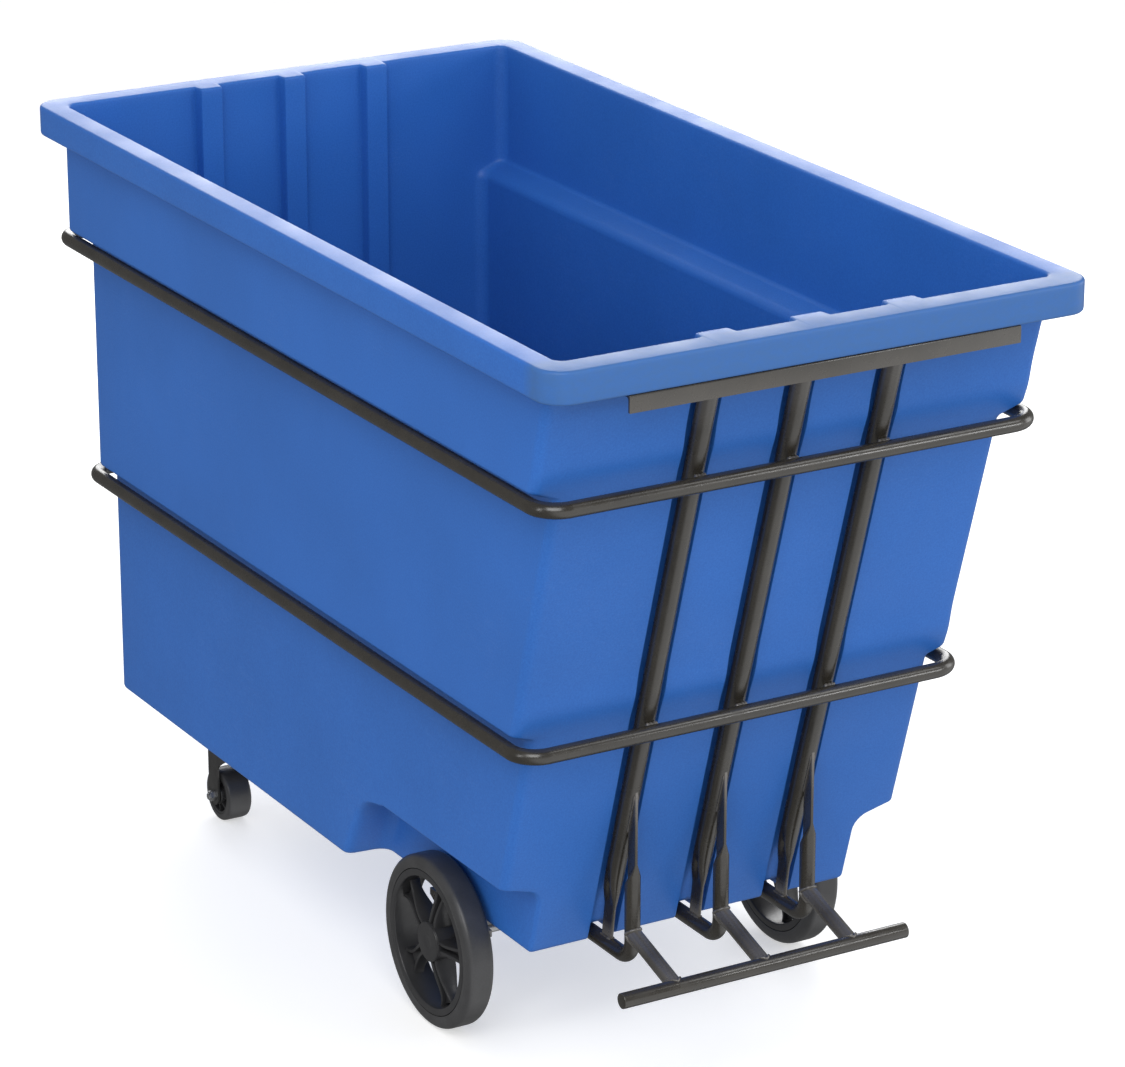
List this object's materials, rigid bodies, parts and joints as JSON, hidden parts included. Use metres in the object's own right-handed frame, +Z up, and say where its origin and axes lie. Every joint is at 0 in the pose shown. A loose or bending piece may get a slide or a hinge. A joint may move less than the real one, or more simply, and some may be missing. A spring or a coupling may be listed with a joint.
{
  "type": "tilt truck",
  "caption": "Large open-topped plastic bulk cart with a leaning front, held in a steel tube frame on fixed wheels and swivel casters, with a low lift bar for tipping.",
  "frame": {"origin": "on the ground, midway along and across the rim", "axes": "+X towards the leaning front wall and its lift bar, +Y towards the left side, +Z up"},
  "size_m": [1.89, 1.002, 1.365],
  "materials": {
    "tub": "moulded polyethylene, satin",
    "frame": "dark mill-scale steel tube, satin",
    "tyre": "dull dark rubber",
    "wheel": "dark moulded plastic",
    "caster_tread": "dull dark rubber",
    "caster_core": "dark moulded plastic",
    "fork": "pressed steel, dulled zinc",
    "zinc": "bright zinc",
    "bush": "sintered bronze"
  },
  "bodies": {
    "truck": {"tub": "tub", "upper_hoop": "frame", "lower_hoop": "frame", "hoop_saddles": "frame", "front_riser_1": "frame", "front_riser_2": "frame", "front_riser_3": "frame", "rear_riser_1": "frame", "rear_riser_2": "frame", "rear_riser_3": "frame", "base_rail_1": "frame", "base_rail_2": "frame", "base_rail_3": "frame", "lift_arm_1": "frame", "lift_arm_2": "frame", "lift_arm_3": "frame", "lift_bar": "frame", "catch_angle": "frame", "front_cross_tube": "frame", "axle_bracket_left": "frame", "axle_bracket_right": "frame", "front_axle": "zinc", "axle_spacers": "zinc", "axle_retainers": "zinc", "rear_cross_tube": "frame", "caster_fasteners": "zinc", "caster_plate_left": "zinc", "caster_race_left": "zinc", "caster_pin_left": "zinc", "caster_plate_right": "zinc", "caster_race_right": "zinc", "caster_pin_right": "zinc"},
    "wheel_left": {"wheel_rim_left": "wheel", "wheel_tyre_left": "tyre", "wheel_bush_left": "bush", "hub_cap_left": "wheel"},
    "wheel_right": {"wheel_rim_right": "wheel", "wheel_tyre_right": "tyre", "wheel_bush_right": "bush", "hub_cap_right": "wheel"},
    "swivel_left": {"caster_fork_left": "fork", "caster_bolt_left": "zinc", "caster_nut_left": "zinc"},
    "swivel_right": {"caster_fork_right": "fork", "caster_bolt_right": "zinc", "caster_nut_right": "zinc"},
    "caster_wheel_left": {"caster_core_left": "caster_core", "caster_tread_left": "caster_tread", "caster_bush_left": "bush"},
    "caster_wheel_right": {"caster_core_right": "caster_core", "caster_tread_right": "caster_tread", "caster_bush_right": "bush"}
  },
  "joints": [
    {"name": "wheel_left_roll", "type": "hinge", "parent": "truck", "child": "wheel_left", "pos_m": [0.294, 0.3455, 0.1524], "axis": [0, 1, 0], "continuous": true},
    {"name": "caster_left_swivel", "type": "hinge", "parent": "truck", "child": "swivel_left", "pos_m": [-0.647, 0.266, 0.15], "axis": [0, 0, 1], "continuous": true},
    {"name": "caster_left_roll", "type": "hinge", "parent": "swivel_left", "child": "caster_wheel_left", "pos_m": [-0.682, 0.266, 0.0508], "axis": [0, 1, 0], "continuous": true},
    {"name": "wheel_right_roll", "type": "hinge", "parent": "truck", "child": "wheel_right", "pos_m": [0.294, -0.3455, 0.1524], "axis": [0, 1, 0], "continuous": true},
    {"name": "caster_right_swivel", "type": "hinge", "parent": "truck", "child": "swivel_right", "pos_m": [-0.647, -0.266, 0.15], "axis": [0, 0, 1], "continuous": true},
    {"name": "caster_right_roll", "type": "hinge", "parent": "swivel_right", "child": "caster_wheel_right", "pos_m": [-0.682, -0.266, 0.0508], "axis": [0, 1, 0], "continuous": true}
  ]
}
